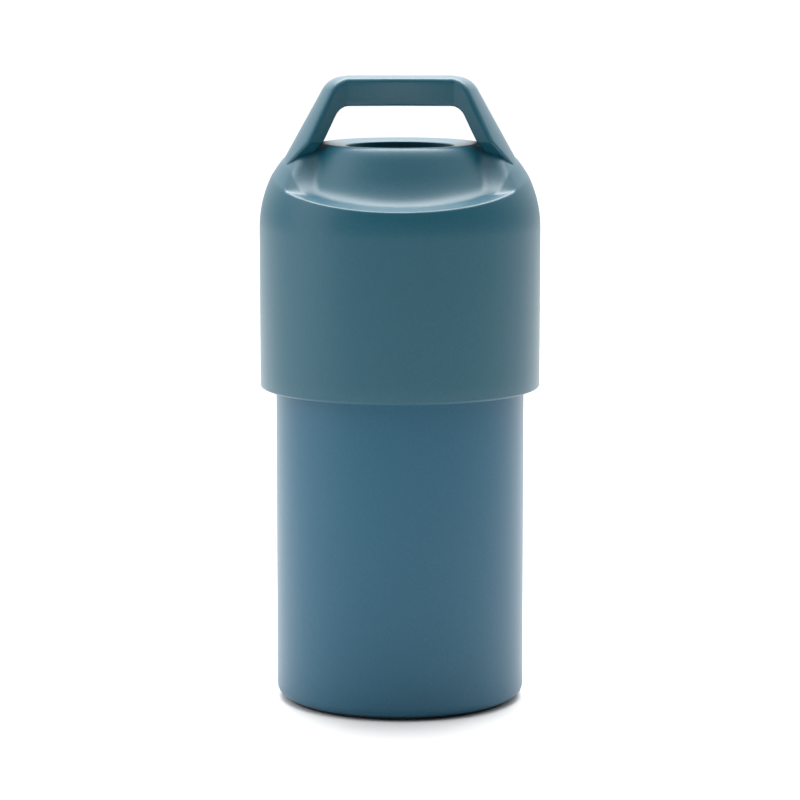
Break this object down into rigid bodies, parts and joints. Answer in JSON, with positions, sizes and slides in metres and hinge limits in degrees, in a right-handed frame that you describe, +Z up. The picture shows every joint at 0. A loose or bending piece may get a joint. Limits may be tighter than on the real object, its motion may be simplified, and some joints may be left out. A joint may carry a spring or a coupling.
{
  "type": "insulated bottle cooler",
  "caption": "Double-wall steel vessel that keeps a drinks bottle cold, with a screw-on plastic cover, an open mouth for the bottle's cap and a fixed trapezoid carry handle.",
  "frame": {"origin": "centre of the base, on the surface that it stands on", "axes": "+Z up along the vessel's axis, +X along the handle's bar, -Y to the front"},
  "size_m": [0.1014, 0.1014, 0.2263],
  "materials": {
    "vessel_coat": "matt powder coat, fine grain",
    "cover_plastic": "fine moulded grain",
    "bare_steel": "brushed",
    "seal_metal": "cast bead",
    "getter": "sintered",
    "dark_rubber": "matt",
    "clear_silicone": "matt, milky",
    "dark_plastic": "satin",
    "foam": "beaded"
  },
  "bodies": {
    "vessel": {"outer_shell": "vessel_coat", "outer_base": "bare_steel", "vacuum_seal": "seal_metal", "getter_pellet": "getter", "base_disc": "bare_steel", "foot_ring": "dark_rubber", "inner_cup": "bare_steel", "cup_pad": "clear_silicone", "thread_ring": "dark_plastic"},
    "seal": {"mouth_gasket": "clear_silicone"},
    "cover": {"cover_shell": "cover_plastic", "cover_liner": "dark_plastic", "foam_jacket": "foam", "neck_ring": "dark_rubber"}
  },
  "joints": [
    {"name": "cover_rise", "type": "slide", "parent": "vessel", "child": "seal", "axis": [0, 0, 1], "range_m": [0, 0.0075]},
    {"name": "cover_turn", "type": "hinge", "parent": "seal", "child": "cover", "pos_m": [0, 0, 0.15], "axis": [0, 0, 1], "range_deg": [0, 450]}
  ],
  "couplings": [
    {"joint": "cover_rise", "follows": "cover_turn", "m_per_rad": 0.00095492}
  ]
}
